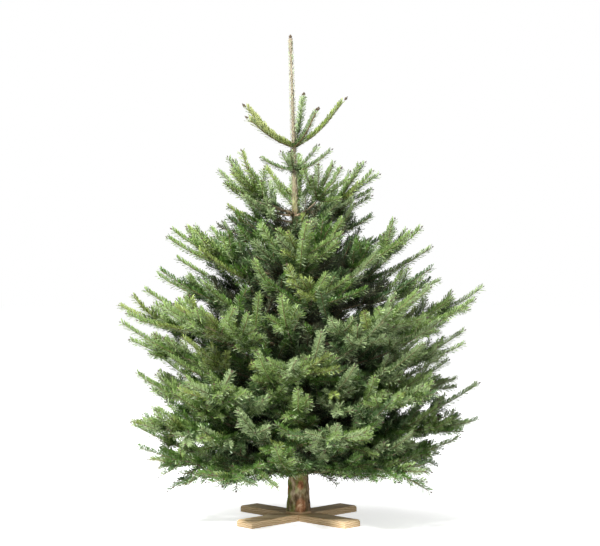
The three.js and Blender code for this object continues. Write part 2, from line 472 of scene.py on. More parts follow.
def addShoot(points, age, habit, hue, up, **looks):
    thick = growth["tipThickness"] + growth["yearThickness"] * age
    shoot = {
        "points": points,
        "age": age,
        "thick": (thick + growth["yearThickness"], thick),
        "hue": hue,
        "up": up,
        "sparse": habit["sparse"],
        "size": habit["needle"],
        "span": 140,
        "open": 60,
        "twig": True,
        "shaded": False,
        "kind": None,
        "budSize": 1.0,
    }
    shoot.update(looks)
    shoots.append(shoot)


boughs = {name: Bough(name) for name in sorted(nodes) if "_foliage" in name}
tips = sorted((bough.tip.z, bough.reach) for bough in boughs.values())
tierLevels = {name.split("_")[0]: bough.tip.z for name, bough in boughs.items()}


def crownReach(z):
    return float(np.interp(z, [t[0] for t in tips], [t[1] for t in tips]))


# How far out a place stands, from 0 at the trunk to 1 at the crown's outside.
def outward(place):
    return math.hypot(place.x - trunkCentre(place.z).x, place.y) / crownReach(place.z)


# Keeps branches off the sides of the box that all the solids share.
def insideBox(place):
    edge = growth["offTheSides"]
    low, high = cadBox
    return low[0] + edge < place.x < high[0] - edge and low[1] + edge < place.y < high[1] - edge


def nearestHabit(z):
    return tierHabits[min(tierHabits, key=lambda name: abs(tierLevels[name] - z))]


# A branch that grows a stretch each year, turns towards its rise, and forks where each year ended.
def growBranch(start, direction, up, length, years, order, habit, hue):
    here = start.copy()
    weights = [spread(1, 0.12) for _ in range(years)]
    rise = habit["rise"] + rng.gauss(0, growth["riseSpread"])
    for year in range(years):
        stretch = length * weights[year] / sum(weights)
        if stretch < growth["smallest"]:
            return
        age = years - 1 - year
        points = [here.copy()]
        parts = 3 if stretch > 0.05 else 2
        pull = growth["pull"][0] if age == 0 else growth["pull"][1]
        for _ in range(parts):
            direction = lifted(direction, rise, pull)
            stray = Vector([rng.gauss(0, growth["wander"]) for _ in range(3)])
            direction = (direction + stray).normalized()
            here = here + direction * (stretch / parts)
            if outward(here) > growth["outermost"] or not insideBox(here):
                break
            points.append(here.copy())
        if len(points) < 3:
            return
        up = perpendicularUp(direction, up)
        addShoot(points, age, habit, hue, up)
        if age > 0:
            forkSides(here, direction, up, stretch * age * growth["sideShare"], age, order, habit, hue)
            middleShoots(points, direction, up, stretch, order, habit, hue)


def forkSides(place, direction, up, length, years, order, habit, hue):
    if order >= growth["mostForks"]:
        return
    tilt, upperTilt = growth["forkTilt"], growth["upperTilt"]
    for sign in (-1, 1):
        if rng.random() < growth["forkMissing"]:
            continue
        way = turned(direction, up, sign * rng.uniform(*growth["forkAngle"]))
        way = turned(way, direction, rng.uniform(-tilt, tilt))
        growBranch(place, way, up, spread(length, 0.15), years, order + 1, habit, hue)
    if rng.random() < growth["upperChance"]:
        way = turned(direction, direction.cross(up), rng.uniform(*growth["upperAngle"]))
        way = turned(way, direction, rng.uniform(-upperTilt, upperTilt))
        long = max(0.05, growth["upperShare"] * spread(length / years, 0.2))
        growBranch(place, way, up, long, 1, order + 1, habit, hue)


# The short shoots that stand between one year's fork and the next.
def middleShoots(points, direction, up, stretch, order, habit, hue):
    if order >= growth["mostForks"] or rng.random() < growth["middleMissing"]:
        return
    tilt = growth["middleTilt"]
    place = points[1].lerp(points[-1], rng.uniform(0.1, 0.7))
    way = turned(direction, up, rng.choice((-1, 1)) * rng.uniform(*growth["middleAngle"]))
    way = turned(way, direction, rng.uniform(-tilt, tilt))
    long = max(0.045, spread(growth["middleShare"], 0.2) * stretch)
    growBranch(place, way, up, long, 1, order + 1, habit, hue)


# How long a side branch may be before it leaves the solid that its bough fills.
def roomSideways(bough, share, angle):
    length = 0.01
    sine, cosine = math.sin(math.radians(angle)), math.cos(math.radians(angle))
    while length < bough.reach:
        ahead = share + length * cosine / bough.reach
        if length * sine > bough.halfWidth(ahead):
            break
        length += 0.01
    return length


# Sprays on the left are yellower, those on the right deeper.
sprays = {"middle": 0.50, "across": 0.24, "scatter": 0.22}


def sprayHue(place):
    return clamp(sprays["middle"] + sprays["across"] * place.x + rng.gauss(0, sprays["scatter"]), 0.99)


def growBough(bough, tier):
    habit = tierHabits[tier]
    years = habit["years"]
    weights = [spread(1, 0.08) for _ in range(years)]
    ends = np.cumsum(weights) / sum(weights)
    ends[-1] = 1 - 0.014 / bough.reach  # leave room for the needles round the leading bud
    start = 0.0
    line = []
    for year in range(years):
        end = float(ends[year])
        age = years - 1 - year
        points = [bough.point(start + (end - start) * k / 4) for k in range(5)]
        line += points if not line else points[1:]
        direction = (points[-1] - points[-2]).normalized()
        up = perpendicularUp(direction)
        addShoot(points, age, habit, sprayHue(points[-1]), up, twig=age == 0)
        if age > 0:
            growFans(bough, end, points[-1], direction, up, age, habit)
            growFans(bough, (start + end) / 2, points[2], direction, up, max(1, age - 1), habit)
        start = end
    limbs.append({"points": line[: 4 * (years - 1) + 1], "years": years, "solid": True})


# Short shoots that stand on a bough or hang from it, two up for each one down.
upright = {"ways": (-1, 1, 1), "angle": (25, 60), "tilt": 75, "hangingShare": 0.75}


def growUpright(place, direction, up, habit, hue):
    side = direction.cross(up)
    for sign in upright["ways"]:
        way = turned(direction, side, sign * rng.uniform(*upright["angle"]))
        way = turned(way, direction, rng.uniform(-upright["tilt"], upright["tilt"]))
        length = spread(habit["upper"], 0.25) * (1 if sign > 0 else upright["hangingShare"])
        growBranch(place, way, up, length, 1, 3, habit, hue)


# The branches that leave a bough at one place: one to each side, and short ones above and below.
def growFans(bough, share, place, direction, up, years, habit):
    for sign in (-1, 1):
        angle = rng.uniform(*growth["forkAngle"])
        length = spread(roomSideways(bough, share, angle), 0.1)
        way = turned(direction, up, sign * angle)
        way = turned(way, direction, rng.uniform(-22, 22))
        growBranch(place, way, up, length, years, 2, habit, sprayHue(place))
    if share > 0.3:
        growUpright(place, direction, up, habit, sprayHue(place))
        growUpright(place, direction, up, habit, sprayHue(place))


# The single shoots of the top whorl, with the longest needles on the left ones.
topLook = {"span": 100, "open": 58, "budSize": 1.9, "thick": (0.0034, 0.0022)}
topNeedles = {"left": 1.2, "middle": 0.8, "right": 1.1}


def growTopShoots():
    for k in range(1, 6):
        bough = Bough(f"top_shoot{k}")
        where = "left" if bough.tip.x < -0.05 else "middle" if abs(bough.tip.x) < 0.1 else "right"
        habit = {"sparse": 0.8, "needle": topNeedles[where]}
        points = [bough.point(0.985 * j / 7) for j in range(8)]
        up = perpendicularUp((points[-1] - points[0]).normalized())
        kind = "lime" if where == "left" else None
        addShoot(points, 0, habit, 0.8 if abs(bough.tip.x) < 0.1 else 0.2, up, kind=kind, **topLook)


# The leader and the young trunk below it carry short needles pressed against the bark.
leader = {"lowest": 1.30, "highest": 2.005, "spacing": 1.5, "needle": 0.36, "open": 24}


def growLeader():
    habit = {"sparse": leader["spacing"], "needle": leader["needle"]}
    heights = np.linspace(leader["lowest"], leader["highest"], 9)
    points = [trunkCentre(z) for z in heights]
    thick = (trunkRadius(heights[0]), trunkRadius(heights[-1]))
    looks = {"span": 180, "open": leader["open"], "twig": False, "budSize": 1.6, "kind": "straw"}
    addShoot(points, 0, habit, 0.05, Vector((0, 1, 0)), thick=thick, **looks)


# A handful of thin shoots stands between the top whorl and the next one.
between = {
    "height": 1.462,
    "headings": (184, 200, 20, 352, 100, 262),
    "reaches": (0.133, 0.055, 0.103, 0.150, 0.120, 0.100),
    "rises": (0.048, 0.066, 0.087, 0.080, 0.080, 0.060),
}


def growBetween():
    habit = {"sparse": 0.9, "needle": 0.80}
    for heading, reach, rise in zip(between["headings"], between["reaches"], between["rises"]):
        root = trunkCentre(between["height"] + rng.uniform(-0.015, 0.015))
        points = upswept(root, wayAt(heading), reach, rise, 1.8, 5)
        up = perpendicularUp((points[-1] - points[0]).normalized())
        addShoot(points, 0, habit, 0.62, up)


# Short branches straight from the trunk, in the gaps between its whorls.
trunkShoots = {
    "count": 80,
    "lowest": 0.40,
    "highest": 1.20,
    "share": (0.30, 0.62),  # length as a share of the crown's reach
    "rise": (28, 58),
    "turn": 137.5,
}


def growTrunkShoots():
    for k in range(trunkShoots["count"]):
        share = k / (trunkShoots["count"] - 1)
        z = trunkShoots["lowest"] + (trunkShoots["highest"] - trunkShoots["lowest"]) * share
        length = crownReach(z + 0.1) * rng.uniform(*trunkShoots["share"])
        out = wayAt(trunkShoots["turn"] * k)
        direction = raised(out, rng.uniform(*trunkShoots["rise"]) * (0.6 + 0.4 * share))
        up = perpendicularUp(direction)
        years = 2 if length > 0.13 else 1
        growBranch(trunkCentre(z), direction, up, length, years, 2, nearestHabit(z), sprayHue(out * length))


# Weaker boughs that fill the crown between the ones that have a solid. Their tips stay inside the line
# through the tips of the solid ones.
filler = {
    "count": 104,
    "lowest": 0.30,
    "highest": 1.36,
    "lowestRoot": 0.21,
    "fullness": (0.78, 1.0),  # reach as a share of the crown's
    "rise": 0.32,
    "side": 0.40,  # length of the first side branches, as a share of the reach
    "turn": 137.5,
}


def growFillers():
    for k in range(filler["count"]):
        share = k / (filler["count"] - 1)
        tipLevel = filler["lowest"] + (filler["highest"] - filler["lowest"]) * share
        reach = crownReach(tipLevel) * rng.uniform(*filler["fullness"])
        out = wayAt(filler["turn"] * k + 20)
        while not insideBox(out * (reach + 0.02)):
            reach -= 0.01
        rise = min(filler["rise"] * reach, tipLevel - filler["lowestRoot"])
        root = trunkCentre(tipLevel - rise)
        habit = nearestHabit(tipLevel)
        years = max(2, min(4, habit["years"] - 1))
        points = upswept(root, out, reach, rise, 2.2, 4 * years + 1)
        hue = sprayHue(points[-1])
        for year in range(years):
            part = points[4 * year : 4 * year + 5]
            direction = (part[-1] - part[-2]).normalized()
            up = perpendicularUp(direction)
            age = years - 1 - year
            addShoot(part, age, habit, hue, up, twig=age == 0)
            if age > 0:
                forkSides(part[-1], direction, up, filler["side"] * reach * age / years, age, 2, habit, hue)
                growUpright(part[2], direction, up, habit, hue)
                growUpright(part[4], direction, up, habit, hue)
        limbs.append({"points": points[: 4 * (years - 1) + 1], "years": years, "solid": False})


# Thin, half-bare twigs that hang from the lowest boughs.
hanging = {
    "count": 64,
    "below": 0.30,
    "outFrom": 0.2,
    "fewerOnTheRight": 0.6,
    "length": (0.08, 0.17),
    "fall": (12, 48),  # degrees below the level
    "turn": 45,
    "thick": 0.0022,
    "sparse": 1.9,
}


def growHanging():
    habit = {"rise": -24, "sparse": hanging["sparse"], "needle": 0.85}
    low = [place for limb in limbs for place in limb["points"] if place.z < hanging["below"]]
    low = [place for place in low if outward(place) > hanging["outFrom"]]
    first = len(shoots)
    for _ in range(hanging["count"]):
        place = rng.choice(low)
        if place.x > 0 and rng.random() < hanging["fewerOnTheRight"]:
            continue
        out = Vector((place.x - trunkCentre(place.z).x, place.y, 0)).normalized()
        out = turned(out, Vector((0, 0, 1)), rng.uniform(-hanging["turn"], hanging["turn"]))
        direction = raised(out, -rng.uniform(*hanging["fall"]))
        up = perpendicularUp(direction)
        growBranch(place, direction, up, rng.uniform(*hanging["length"]), 2, 3, habit, rng.random())
    for shoot in shoots[first:]:
        shoot["thick"] = (hanging["thick"], 0.7 * hanging["thick"])


bud = {
    "length": 0.0110,
    "width": 0.0060,
    "flat": 1.6,  # how much wider than thick a cluster of them is
    "lean": 42,
    "sides": 4,
    "ahead": 0.009,
    "outFrom": 0.72,  # shaded shoots have none
}

# Needles thin out on the shoots that the crown shades, and their darker colours there are painted shade.
shade = {
    "below": 1.35,
    "from": 0.66,  # how far out the thinning starts
    "most": 2.0,  # how far the needles thin at the trunk
    # shoots closer to the trunk than these take the darkest, then the darker colours, as painted shade
    "darkest": 0.44,
    "dark": 0.57,
    "bottom": 0.15,
    "lowBelow": 0.62,  # the lowest sprays are deeper green, this share of them at the very bottom
    "lowShare": 0.85,
}


def shadeInside():
    for shoot in shoots:
        middle = shoot["points"][len(shoot["points"]) // 2]
        out = outward(middle)
        low = shade["lowShare"] * (1 - (middle.z - shade["bottom"]) / (shade["lowBelow"] - shade["bottom"]))
        if not shoot["age"] and rng.random() < low:
            shoot["kind"] = "green" if shoot["hue"] < 0.6 else "blue"
        if middle.z > shade["below"] or out > shade["from"]:
            continue
        shoot["shaded"] = out < bud["outFrom"]
        shoot["sparse"] *= 1 + (shade["most"] - 1) * (1 - out / shade["from"])
        # Painted shade: the shoots nearest the trunk take the darkest colours, and young ones a little
        # further out last year's darker greens.
        if out < shade["darkest"]:
            shoot["kind"] = "deep" if shoot["hue"] < 0.5 else "dusk"
        elif out < shade["dark"] and not shoot["age"]:
            shoot["kind"] = "green" if shoot["hue"] < 0.5 else "blue"


# Keeps the front of the trunk's foot in sight.
foot = {"below": 0.215, "width": 0.085}


def clearFoot():
    for shoot in shoots[:]:
        lowest = min(shoot["points"], key=lambda place: place.z)
        if lowest.y < 0 and lowest.z < foot["below"] and abs(lowest.x) < foot["width"]:
            shoots.remove(shoot)


# Lets some sky through beside the trunk where the crown is thin between two whorls.
gap = {"from": 1.19, "to": 1.37, "beside": 0.11, "sparse": 1.8, "taken": 0.62}


def openGap():
    for shoot in shoots[:]:
        middle = shoot["points"][len(shoot["points"]) // 2]
        beside = abs(middle.x - trunkCentre(middle.z).x)
        if not gap["from"] < middle.z < gap["to"] or beside > gap["beside"]:
            continue
        if shoot["age"]:
            shoot["sparse"] *= gap["sparse"]
        elif shoot["kind"] != "straw" and rng.random() < gap["taken"]:
            shoots.remove(shoot)


def growAll():
    growTopShoots()
    growLeader()
    growBetween()
    for name, bough in boughs.items():
        growBough(bough, name.split("_")[0])
    growFillers()
    growTrunkShoots()
    growHanging()
    clearFoot()
    shadeInside()
    openGap()


growAll()
print(f"{len(shoots)} shoots grown, {sum(map(shootLength, shoots)):.0f} m in all")


def newTree(name, inputs):
    tree = bpy.data.node_groups.new(name, "GeometryNodeTree")
    tree.interface.new_socket("Geometry", in_out="INPUT", socket_type="NodeSocketGeometry")
    for label, kind, value in inputs:
        socket = tree.interface.new_socket(label, in_out="INPUT", socket_type=f"NodeSocket{kind}")
        if value is not None:
            socket.default_value = value
    tree.interface.new_socket("Geometry", in_out="OUTPUT", socket_type="NodeSocketGeometry")
    return tree, tree.nodes.new("NodeGroupInput"), tree.nodes.new("NodeGroupOutput")


def attribute(tree, name, kind="FLOAT"):
    node = addNode(tree, "GeometryNodeInputNamedAttribute", name, data_type=kind)
    return Wire(next(socket for socket in node.outputs if socket.enabled))


def randomNumber(tree, low, high, seed):
    named = {2: low, 3: high, "Seed": seed}
    return Wire(addNode(tree, "FunctionNodeRandomValue", named=named, data_type="FLOAT").outputs[1])


def stored(tree, geometry, name, kind, value):
    named = {"Geometry": geometry, "Name": name, "Value": value}
    node = addNode(tree, "GeometryNodeStoreNamedAttribute", data_type=kind, domain="POINT", named=named)
    return node.outputs[0]


def coated(tree, geometry, material, where=None):
    named = {"Geometry": geometry, "Material": material, "Selection": where}
    return addNode(tree, "GeometryNodeSetMaterial", named=named).outputs[0]


# Sets a copy of a thing on every point, aimed, turned and scaled.
def setOnPoints(tree, points, thing, aim, facing, facingAxis, scale):
    shape = addNode(tree, "GeometryNodeObjectInfo", named={"Object": thing}).outputs["Geometry"]
    axes = {"primary_axis": "X", "secondary_axis": facingAxis}
    turn = addNode(tree, "FunctionNodeAxesToRotation", named={0: aim, 1: facing}, **axes).outputs[0]
    named = {"Points": points, "Instance": shape, "Rotation": turn, "Scale": scale}
    return addNode(tree, "GeometryNodeInstanceOnPoints", named=named).outputs[0]


def setColumn(mesh, name, values, kind="FLOAT"):
    field = "value" if kind == "FLOAT" else "vector"
    mesh.attributes.new(name, kind, "POINT").data.foreach_set(field, values)


# What the node trees need to know on the points of a skeleton; none of it is left on the finished mesh.
skeletonNumbers = ("thick", "spacing", "phase", "size", "span", "open", "wide")
scratchNames = ("upward", "under", "outer", "seat", "aim")


# Runs a tree on a source object and keeps the result as a plain mesh.
def grownPiece(name, source, tree, values):
    modifier = source.modifiers.new("grow", "NODES")
    modifier.node_group = tree
    for socket in tree.interface.items_tree:
        if socket.in_out == "INPUT" and socket.name in values:
            modifier[socket.identifier] = values[socket.name]
    depsgraph = bpy.context.evaluated_depsgraph_get()
    mesh = bpy.data.meshes.new_from_object(source.evaluated_get(depsgraph), depsgraph=depsgraph)
    mesh.name = name
    bpy.data.objects.remove(source)
    for leftover in [a.name for a in mesh.attributes if a.name in (*skeletonNumbers, *scratchNames)]:
        mesh.attributes.remove(mesh.attributes[leftover])
    dropEmptySlots(mesh)
    return linkPiece(name, mesh)


def dropEmptySlots(mesh):
    slots = list(mesh.materials)
    indices = np.zeros(len(mesh.polygons), dtype=np.int32)
    mesh.polygons.foreach_get("material_index", indices)
    filled = [k for k, material in enumerate(slots) if material]
    place = np.array([filled.index(k) if k in filled else 0 for k in range(len(slots))], dtype=np.int32)
    mesh.materials.clear()
    for k in filled:
        mesh.materials.append(slots[k])
    mesh.polygons.foreach_set("material_index", place[indices])


# The middle lines of some shoots as edges, with the numbers above on their points.
def skeleton(name, chosen):
    places, edges, upward = [], [], []
    columns = {key: [] for key in skeletonNumbers}
    for shoot in chosen:
        first = len(places)
        count = len(shoot["points"])
        places += [p[:] for p in shoot["points"]]
        edges += [(first + k, first + k + 1) for k in range(count - 1)]
        upward += shoot["up"][:] * count
        columns["thick"] += list(np.linspace(*shoot["thick"], count))
        for key in skeletonNumbers[1:]:
            columns[key] += [shoot[key]] * count
    mesh = bpy.data.meshes.new(name)
    mesh.from_pydata(places, edges, [])
    for key, values in columns.items():
        setColumn(mesh, key, values)
    setColumn(mesh, "upward", upward, "FLOAT_VECTOR")
    return linkPiece(name, mesh)


needle = {
    "length": 0.0265,
    "width": 0.0039,
    "base": 0.40,  # width at the foot, as a share of the width
    "spacing": 0.00087,  # along a shoot, between one needle and the next
    "mostInPiece": 95000,
    "sizes": (0.84, 1.12),
    "closerOnTop": 17,  # degrees by which the upper ones lie closer to the shoot
    "closerAtTip": 8,
    "shorter": 0.06,  # share by which the upper ones, and those at both ends, are shorter
    "litEndFrom": 0.34,  # where the lighter colour of painted highlight starts along a shoot, and how unevenly
    "litEndScatter": 0.45,
    "paleSideAndGlintShare": 0.30,  # share of the side needles that take the pale colour, partly their real pale underside and partly painted glints
    "spacingByAge": (1.0, 1.25, 2.0, 3.6, 7.0),
    "wideByAge": (1.0, 1.08, 1.2, 1.25, 1.25),
}


# A strap with a blunt, slanting end, twisted a little so that it catches the light unevenly.
def needleBlade():
    foot = needle["base"] / 2
    places = [(0, -foot, 0), (0.93, -0.5, -0.16), (1, 0.38, 0.10), (0, foot, 0)]
    mesh = bpy.data.meshes.new("needleBlade")
    mesh.from_pydata(places, [], [(0, 1, 2), (0, 2, 3)])
    return linkPiece("needleBlade", mesh)


goldenTurn = 0.6180339


# Needles set round each shoot at the golden angle, but swept up off its lower side, and pointing more
# and more forwards towards its tip.
def needleTree(blade):
    inputs = [
        ("Needle length", "Float", needle["length"]),
        ("Needle width", "Float", needle["width"]),
        ("Pale side and glint share", "Float", needle["paleSideAndGlintShare"]),
        ("Inner needles", "Material", None),
        ("Painted highlight needles", "Material", None),
        ("Pale sides and glints", "Material", None),
    ]
    tree, given, out = newTree("setNeedles", inputs)
    line = addNode(tree, "GeometryNodeMeshToCurve", given.outputs["Geometry"]).outputs[0]
    line = addNode(tree, "GeometryNodeCurveSplineType", line, spline_type="CATMULL_ROM").outputs[0]
    cut = {"Curve": line, "Length": attribute(tree, "spacing")}
    line = addNode(tree, "GeometryNodeResampleCurve", mode="LENGTH", named=cut).outputs[0]
    parameter = addNode(tree, "GeometryNodeSplineParameter")
    share, index = Wire(parameter.outputs["Factor"]), Wire(parameter.outputs["Index"])
    forward = Wire(addNode(tree, "GeometryNodeInputTangent").outputs[0])
    side = forward.to("CROSS_PRODUCT", attribute(tree, "upward", "FLOAT_VECTOR")).to("NORMALIZE")
    up = side.to("CROSS_PRODUCT", forward)

    turn = (index * goldenTurn + attribute(tree, "phase")).to("FRACT")
    angle = (turn - 0.5) * 2 * attribute(tree, "span") + 90 + randomNumber(tree, -9, 9, 3)
    angle = angle.to("RADIANS")
    onTop = angle.to("SINE").to("MAXIMUM", 0)
    opened = attribute(tree, "open") - onTop * needle["closerOnTop"] - share**3 * needle["closerAtTip"]
    opened = (opened + randomNumber(tree, -9, 9, 5)).to("RADIANS")
    around = side * angle.to("COSINE") + up * angle.to("SINE")
    direction = forward * opened.to("COSINE") + around * opened.to("SINE")
    facing = up * 0.8 + forward * 0.45 + side * randomNumber(tree, -1.1, 1.1, 8)

    atEnds = (share * 2 - 1).to("ABSOLUTE") ** 4
    size = ((atEnds + onTop) * -needle["shorter"] + 1) * randomNumber(tree, *needle["sizes"], 9)
    long = size * attribute(tree, "size") * given.outputs["Needle length"]
    wide = attribute(tree, "wide") * given.outputs["Needle width"]
    scale = addNode(tree, "ShaderNodeCombineXYZ", long, wide, wide).outputs[0]
    # The pale needles are partly real undersides and partly painted glints.
    pale = (onTop * -1 + 1) ** 2 * given.outputs["Pale side and glint share"]
    pale = randomNumber(tree, 0, 1, 12).to("LESS_THAN", pale)
    # The outer needles of each shoot take the lighter colour as painted highlight, over the darker bases as
    # painted shade.
    outer = share + randomNumber(tree, -needle["litEndScatter"], needle["litEndScatter"], 14)
    outer = outer.to("GREATER_THAN", needle["litEndFrom"])

    points = stored(tree, line, "under", "BOOLEAN", pale)
    points = stored(tree, points, "outer", "BOOLEAN", outer)
    points = stored(tree, points, "seat", "FLOAT_VECTOR", around * attribute(tree, "thick"))
    placed = setOnPoints(tree, points, blade, direction, facing, "Z", scale)
    shift = {"Instances": placed, "Translation": attribute(tree, "seat", "FLOAT_VECTOR")}
    shift["Local Space"] = False
    seated = addNode(tree, "GeometryNodeTranslateInstances", named=shift)
    made = addNode(tree, "GeometryNodeRealizeInstances", seated.outputs[0]).outputs[0]
    made = coated(tree, made, given.outputs["Inner needles"])
    made = coated(tree, made, given.outputs["Painted highlight needles"], attribute(tree, "outer", "BOOLEAN"))
    made = coated(tree, made, given.outputs["Pale sides and glints"], attribute(tree, "under", "BOOLEAN"))
    tree.links.new(made, out.inputs[0])
    return tree


# Which colour a shoot's needles take, from its age and from where its spray stands in the run of hues.
def needleColour(shoot):
    hue = shoot["hue"] % 1
    # A kind set earlier comes first, among them the darker colours painted as shade on the shoots inside the
    # crown.
    if shoot["kind"]:
        return shoot["kind"]
    if shoot["age"] == 0:
        return "gold" if hue < 0.24 else "fresh" if hue < 0.62 else "silver"
    if shoot["age"] == 1:
        return "olive" if hue < 0.3 else "green" if hue < 0.65 else "blue"
    return "dusk" if hue < 0.4 else "deep"


def dealShoots():
    groups = {name: [] for name in needleColours}
    for shoot in shoots:
        age = min(shoot["age"], 4)
        shoot["spacing"] = needle["spacing"] * shoot["sparse"] * needle["spacingByAge"][age]
        shoot["wide"] = needle["wideByAge"][age]
        shoot["phase"] = rng.random()
        groups[needleColour(shoot)].append(shoot)
    return groups


def inBatches(members):
    batches, held = [[]], 0
    for shoot in members:
        needs = shootLength(shoot) / shoot["spacing"] + 1
        if held + needs > needle["mostInPiece"]:
            batches.append([])
            held = 0
        batches[-1].append(shoot)
        held += needs
    return [batch for batch in batches if batch]


def makeNeedles():
    blade = needleBlade()
    tree = needleTree(blade)
    pieces = []
    for name, members in dealShoots().items():
        for k, batch in enumerate(inBatches(members)):
            values = {
                "Inner needles": needleBodies[name],
                "Painted highlight needles": paintedHighlightEnds[name],
                "Pale sides and glints": paleSideAndGlintNeedles,
            }
            piece = grownPiece(f"needles_{name}{k + 1}", skeleton("needleLines", batch), tree, values)
            pieces.append((name, piece))
    bpy.data.objects.remove(blade)
    count = sum(len(piece.data.polygons) for name, piece in pieces)
    print(f"{len(pieces)} pieces of needles, {count} faces")
    return pieces


needlePieces = makeNeedles()


def tubeTree():
    tree, given, out = newTree("clotheTwigs", [("Sides", "Int", 3), ("Bark", "Material", None)])
    circle = {"Resolution": given.outputs["Sides"], "Radius": 1}
    tube = {"Scale": attribute(tree, "thick"), "Fill Caps": True}
    tube["Curve"] = addNode(tree, "GeometryNodeMeshToCurve", given.outputs["Geometry"]).outputs[0]
    tube["Profile Curve"] = addNode(tree, "GeometryNodeCurvePrimitiveCircle", named=circle).outputs[0]
    made = addNode(tree, "GeometryNodeCurveToMesh", named=tube).outputs[0]
    made = addNode(tree, "GeometryNodeRealizeInstances", made).outputs[0]
    tree.links.new(coated(tree, made, given.outputs["Bark"]), out.inputs[0])
    return tree


def makeTwigs():
    source = skeleton("twigLines", [shoot for shoot in shoots if shoot["twig"]])
    piece = grownPiece("twigs", source, tubeTree(), {"Bark": twigBark})
    print("twigs", len(piece.data.polygons))
    return piece


twigs = makeTwigs()


# A pointed bud along X, and two smaller ones that lean away from it.
def budCluster():
    mesh = bpy.data.meshes.new("budCluster")
    places, faces = [], []
    for turn, size in ((0, 1.0), (bud["lean"], 0.75), (-bud["lean"], 0.75)):
        first = len(places)
        way = Matrix.Rotation(math.radians(turn), 3, "Z")
        places.append(way @ Vector((-0.1, 0, 0)) * size)
        for k in range(bud["sides"]):
            a = 2 * math.pi * k / bud["sides"]
            places.append(way @ Vector((0.42, 0.5 * math.cos(a), 0.5 * math.sin(a))) * size)
        places.append(way @ Vector((1, 0, 0)) * size)
        last = first + bud["sides"] + 1
        for k in range(bud["sides"]):
            here = first + 1 + k
            after = first + 1 + (k + 1) % bud["sides"]
            faces += [(first, after, here), (last, here, after)]
    mesh.from_pydata(places, [], faces)
    return linkPiece("budCluster", mesh)


def budTree(cluster):
    inputs = [
        ("Bud length", "Float", bud["length"]),
        ("Bud width", "Float", bud["width"]),
        ("Scales", "Material", None),
    ]
    tree, given, out = newTree("setBuds", inputs)
    grown = attribute(tree, "size") * randomNumber(tree, 0.8, 1.2, 4)
    long, wide = grown * given.outputs["Bud length"], grown * given.outputs["Bud width"]
    scale = addNode(tree, "ShaderNodeCombineXYZ", long, wide * bud["flat"], wide).outputs[0]
    aims = [attribute(tree, name, "FLOAT_VECTOR") for name in ("aim", "upward")]
    made = setOnPoints(tree, given.outputs["Geometry"], cluster, *aims, "Y", scale)
    made = addNode(tree, "GeometryNodeRealizeInstances", made).outputs[0]
    tree.links.new(coated(tree, made, given.outputs["Scales"]), out.inputs[0])
    return tree


def makeBuds():
    ends, aims, ups, sizes = [], [], [], []
    for shoot in shoots:
        if shoot["age"] or shoot["shaded"]:
            continue
        aim = (shoot["points"][-1] - shoot["points"][-2]).normalized()
        ends.append((shoot["points"][-1] + aim * bud["ahead"] * shoot["budSize"])[:])
        aims += aim[:]
        ups += shoot["up"].cross(aim)[:]
        sizes.append(shoot["budSize"])
    source = bpy.data.meshes.new("budPlaces")
    source.from_pydata(ends, [], [])
    setColumn(source, "size", sizes)
    setColumn(source, "aim", aims, "FLOAT_VECTOR")
    setColumn(source, "upward", ups, "FLOAT_VECTOR")
    cluster = budCluster()
    piece = grownPiece("buds", linkPiece("budPlaces", source), budTree(cluster), {"Scales": budScales})
    bpy.data.objects.remove(cluster)
    print("buds", len(ends))
    return piece


buds = makeBuds()


# A smooth piece of bark on runs of rings, each run closed at both its ends.
def barkPiece(name, runs, columns):
    places, faces = [], []
    for rings in runs:
        sides = len(rings[0])
        first = len(places)
        last = first + sides * (len(rings) - 1)
        places += [place for ring in rings for place in ring]
        for ring in range(first, last, sides):
            for k in range(sides):
                a, b = ring + k, ring + (k + 1) % sides
                faces.append((a, b, b + sides, a + sides))
        faces.append(tuple(reversed(range(first, first + sides))))
        faces.append(tuple(range(last, last + sides)))
    mesh = bpy.data.meshes.new(name)
    mesh.from_pydata(places, [], faces)
    for key, values in columns.items():
        setColumn(mesh, key, values)
    mesh.polygons.foreach_set("use_smooth", [True] * len(mesh.polygons))
    mesh.materials.append(firBark)
    return linkPiece(name, mesh)


trunkLook = {
    "sides": 48,
    "rings": 320,
    "crowding": 1.15,  # brings the rings closer together towards the foot
    "offBoards": 0.0003,
    "belowTip": 0.016,
    "relief": 0.0034,
    "coarseness": 1.6,
    "flare": 0.0040,  # the bark spreads a little more at the foot
    "flareSpan": 0.15,
    "collar": 0.0022,  # swelling where a whorl of boughs leaves
    "collarSpan": 0.014,
    "scarHeight": 0.0022,
    "youngFrom": 1.20,
    "youngTo": 1.46,
    "rim": 0.006,  # pale wood at the saw cut
}
# reddish scars at the foot, where the lowest boughs were cut away: height above the cut, heading, half-size
scars = ((0.119, 284, 0.0125), (0.033, 284, 0.021), (0.100, 185, 0.012), (0.070, 80, 0.014))
resin = {"height": 0.036, "heading": 277, "size": 0.007}


def whorlLevels():
    return [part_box("top_shoot1")[0].z] + [limb["points"][0].z for limb in limbs if limb["solid"]]


def scarAt(z, heading):
    value = 0.0
    for height, where, size in scars:
        turn = (heading - where + 180) % 360 - 180
        across = math.radians(turn) * trunkRadius(z) / size
        along = (z - standTop - height) / (1.6 * size)
        ragged = 0.9 * noise.noise(Vector((across * 1.4, along * 1.4, where)))
        value = max(value, 1.25 + ragged - math.hypot(across, along))
    return clamp(value * 1.6)


# A drop of pale resin on the lowest scar.
def resinAt(z, heading):
    across = math.radians(heading - resin["heading"]) * trunkRadius(z)
    return math.hypot(across, z - standTop - resin["height"]) < resin["size"]


